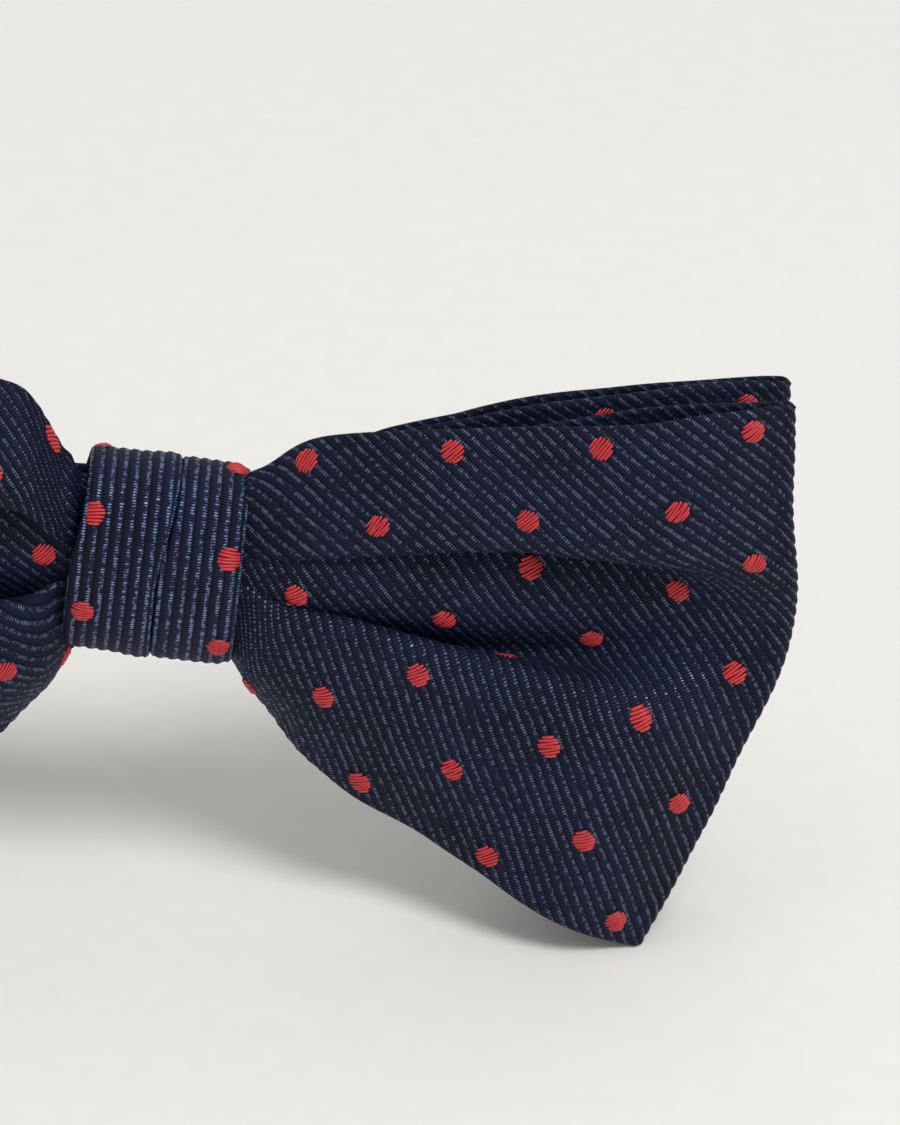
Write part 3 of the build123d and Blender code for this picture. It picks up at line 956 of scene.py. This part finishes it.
def strap_piece(name, path, start=0.0, side=1, thickness=None):
    """A flat silk tube that follows a plan path, with rounded folded edges and closed ends."""
    path = dense(path)
    count = len(path)
    tangent = unit(np.gradient(path, axis=0))
    normal = np.stack([-tangent[:, 1], tangent[:, 0]], -1)
    distance = np.append(0, np.cumsum(np.linalg.norm(np.diff(path, axis=0), axis=1)))
    half = np.full(count, STRAP / 2)
    if thickness is not None:
        half = np.interp(distance / distance[-1], *thickness) / 2
    turn = np.radians(np.linspace(0, 180, 9))
    z_face = np.linspace(-STRAP_WIDTH / 2 + STRAP / 2, STRAP_WIDTH / 2 - STRAP / 2, 27)
    edge = STRAP / 2
    # Round the section: front face upwards, over the top edge, back face downwards, under the bottom.
    z = np.concatenate([
        z_face, z_face[-1] + edge * np.sin(turn[1:-1]), z_face[::-1], z_face[0] - edge * np.sin(turn[1:-1])
    ])
    face_lift = 1 - 0.07 * (abs(z_face) / z_face[-1]) ** 4
    seam = 1 - 0.16 * np.exp(-((z_face - 0.2) / 0.35) ** 2)
    n = np.concatenate([
        -face_lift, -np.cos(turn[1:-1]) * 0.93, (face_lift * seam)[::-1], np.cos(turn[1:-1]) * 0.93
    ])
    ring = np.stack([
        path[:, :1] + normal[:, :1] * half[:, None] * n[None, :],
        path[:, 1:] + normal[:, 1:] * half[:, None] * n[None, :],
        KNOT_Z + z[None, :] + 0 * half[:, None],
    ], -1)
    ring[..., 0] *= side
    girth = np.append(0, np.cumsum(np.hypot(np.diff(z), np.diff(n) * STRAP / 2)))
    girth = np.append(girth, girth[-1] + 0.2)
    uv = rib_uv((start + distance)[:, None] + 0 * girth[None, :], girth[None, :] + 0 * distance[:, None])
    points, faces, loops = lattice(ring, uv, False, True)
    columns = ring.shape[1]
    caps = [list(range(columns))[::-1], list(range((count - 1) * columns, count * columns))]
    faces = faces.tolist() + caps
    loops = np.concatenate([loops, uv[0, :-1][::-1], uv[-1, :-1]])
    obj = new_object(name, points, faces, loops, STRAP_SILK)
    return obj, distance[-1]


middle_strap, length = strap_piece("neckband_middle", [(-27, RUN_MIDDLE[0]), (27, RUN_MIDDLE[0])])
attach(middle_strap, "bow")
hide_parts("neckband_centre")

JOIN = 32.5
LAST_JOIN = 46.0
LOOP_END = 36.5
SEWN = (41.5, 45.5)
RETURN_END = 45.5
crease_paths = [
    [(27, RUN_MIDDLE[0])] + arc((FOLD_OUT, 6.25), 0.9, -90, 90) + [(JOIN, RUN_MIDDLE[1])],
    [(JOIN, RUN_MIDDLE[1])] + arc((FOLD_IN, 8.05), 0.9, 270, 90) + [(JOIN, RUN_MIDDLE[2])],
    [(JOIN, RUN_MIDDLE[2])] + arc((FOLD_OUT, 10.35), 1.4, -90, 90) + [(LAST_JOIN, RUN_MIDDLE[3])],
]
loop_turn = [(LAST_JOIN, RUN_MIDDLE[3])] + arc(PIVOT, RETURN_MIDDLE - PIVOT[1], 270, 90)
eye_path = loop_turn + [(LOOP_END, RETURN_MIDDLE)]
sewn_down = RUN_MIDDLE[3] + STRAP
hook_path = loop_turn + [(LOOP_END, RETURN_MIDDLE), (SEWN[0], sewn_down), (SEWN[1], sewn_down)]

for side_name, side in (("right", 1), ("left", -1)):
    travelled = 27.0
    bodies = ["bow"] + [f"{side_name}_run_{k}" for k in (2, 3, 4)]
    for k, path in enumerate(crease_paths):
        strap, length = strap_piece(f"{side_name}_strap_{k + 1}", path, travelled, side)
        travelled += length
        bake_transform(strap)
        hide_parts(f"{side_name}_fold_{k + 1}")
        if k < 2:
            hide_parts(f"{side_name}_run_{k + 2}")
    path = eye_path if side > 0 else hook_path
    loop_name = "right_eye_loop" if side > 0 else "left_hook_loop"
    end_strap, length = strap_piece(f"{side_name}_strap_end", path, travelled, side)
    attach(end_strap, bodies[3])
    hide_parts(f"{side_name}_run_4", loop_name)

return_path = [(LOOP_END, RETURN_MIDDLE), (RETURN_END, RETURN_MIDDLE)]
return_strap, length = strap_piece("right_return_strap", return_path, 5.0)
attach(return_strap, "slider")
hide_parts("right_return_run")
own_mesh(return_strap)

tab_path = [(RETURN_END, RETURN_MIDDLE)] + arc((50.7, 13.8), 1.05, 90, -90) + [(47.9, 12.75)]
tab_thickness = ([0, 0.5, 0.72, 1], [1.2, 1.2, 0.5, 0.4])
tab, length = strap_piece("slider_tab_cloth", tab_path, 23.0, 1, tab_thickness)
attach(tab, "slider")
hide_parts("slider_tab")


def bartack(name, x, y, side, body, replaced):
    """A close zigzag of thread across the strap."""
    path = []
    for k in range(41):
        path.append((side * (x + (0.45 if k % 2 else -0.45)), y, KNOT_Z - 5.3 + 10.6 * k / 40))
    thread_tube(name, path, 0.15, body, replaced)


bartack("slider_tack", 47.0, RETURN_MIDDLE + STRAP / 2 + 0.02, 1, "slider", "slider_bartack")
bartack("hook_tack", 43.5, sewn_down + STRAP / 2 + 0.02, -1, "left_run_4", "hook_bartack")


def repaint(node, material):
    """Gives a carried-over CAD node its material."""
    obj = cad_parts[node]
    obj.data.materials.clear()
    obj.data.materials.append(material)


for node in ("eye", "hook", "slider_frame"):
    repaint(node, NICKEL)

# ---------------------------------------------------------------- stage, light and camera
floor = bpy.data.meshes.new("floor")
floor.from_pydata([(-4, -4, 0), (4, -4, 0), (4, 4, 0), (-4, 4, 0)], [], [(0, 1, 2, 3)])
floor.materials.append(floor_material())
floor_object = bpy.data.objects.new("floor", floor)
bpy.context.scene.collection.objects.link(floor_object)

world = bpy.data.worlds.new("studio")
world.use_nodes = True
background = world.node_tree.nodes["Background"]
background.inputs["Color"].default_value = srgb(247, 245, 242)
background.inputs["Strength"].default_value = 0.66
bpy.context.scene.world = world
bpy.context.scene.view_settings.view_transform = "Standard"
bpy.context.scene.view_settings.look = "None"


def area_light(name, azimuth, elevation, distance, size, power, colour):
    """A soft light aimed at the bow; azimuth 0 is straight in front, and 90 is to its right."""
    light = bpy.data.lights.new(name, "AREA")
    light.shape = "DISK"
    light.size = size
    light.energy = power
    light.color = colour[:3]
    obj = bpy.data.objects.new(name, light)
    bpy.context.scene.collection.objects.link(obj)
    a, e = math.radians(azimuth), math.radians(elevation)
    towards = Vector((math.sin(a) * math.cos(e), -math.cos(a) * math.cos(e), math.sin(e)))
    target = Vector((0, 0, KNOT_Z / 1000))
    obj.location = target + towards * distance
    obj.rotation_euler = (-towards).to_track_quat("-Z", "Y").to_euler()


area_light("key", 36, 56, 1.2, 0.46, 8.0, srgb(255, 253, 252))
area_light("fill", -60, 35, 1.4, 1.0, 0.8, srgb(232, 240, 255))

# The camera looks down on the bow's front, from a little to its right, rolled slightly.
CAMERA_AZIMUTH = 0.8
CAMERA_ELEVATION = 29.6
CAMERA_ROLL = 3.15
CAMERA_DISTANCE = 900
VIEW_WIDTH = 84.5
LOOK_RIGHT, LOOK_UP = 27.2, -0.6

az, el, roll = (math.radians(a) for a in (CAMERA_AZIMUTH, CAMERA_ELEVATION, CAMERA_ROLL))
towards = Vector((math.sin(az) * math.cos(el), -math.cos(az) * math.cos(el), math.sin(el)))
right = Vector((math.cos(az), math.sin(az), 0))
up = towards.cross(right)
tilted_right = right * math.cos(roll) + up * math.sin(roll)
tilted_up = up * math.cos(roll) - right * math.sin(roll)
knot_middle = Vector(place((0.4, 0, KNOT_Z + 0.1)))
camera_place = knot_middle + towards * CAMERA_DISTANCE / 1000
target = knot_middle + (tilted_right * LOOK_RIGHT + tilted_up * LOOK_UP) / 1000
look = (camera_place - target).normalized()
camera_right = tilted_right - look * tilted_right.dot(look)
camera_right.normalize()
camera_up = look.cross(camera_right)
camera = bpy.data.cameras.new("camera")
camera.sensor_fit = "HORIZONTAL"
camera.sensor_width = 36
camera.lens = 36 * (camera_place - target).length * 1000 / VIEW_WIDTH
camera.clip_start = 0.01
camera_object = bpy.data.objects.new("camera", camera)
bpy.context.scene.collection.objects.link(camera_object)
matrix = camera_object.matrix_world.copy()
for row in range(3):
    matrix[row][0] = camera_right[row]
    matrix[row][1] = camera_up[row]
    matrix[row][2] = look[row]
    matrix[row][3] = camera_place[row]
camera_object.matrix_world = matrix
bpy.context.scene.camera = camera_object
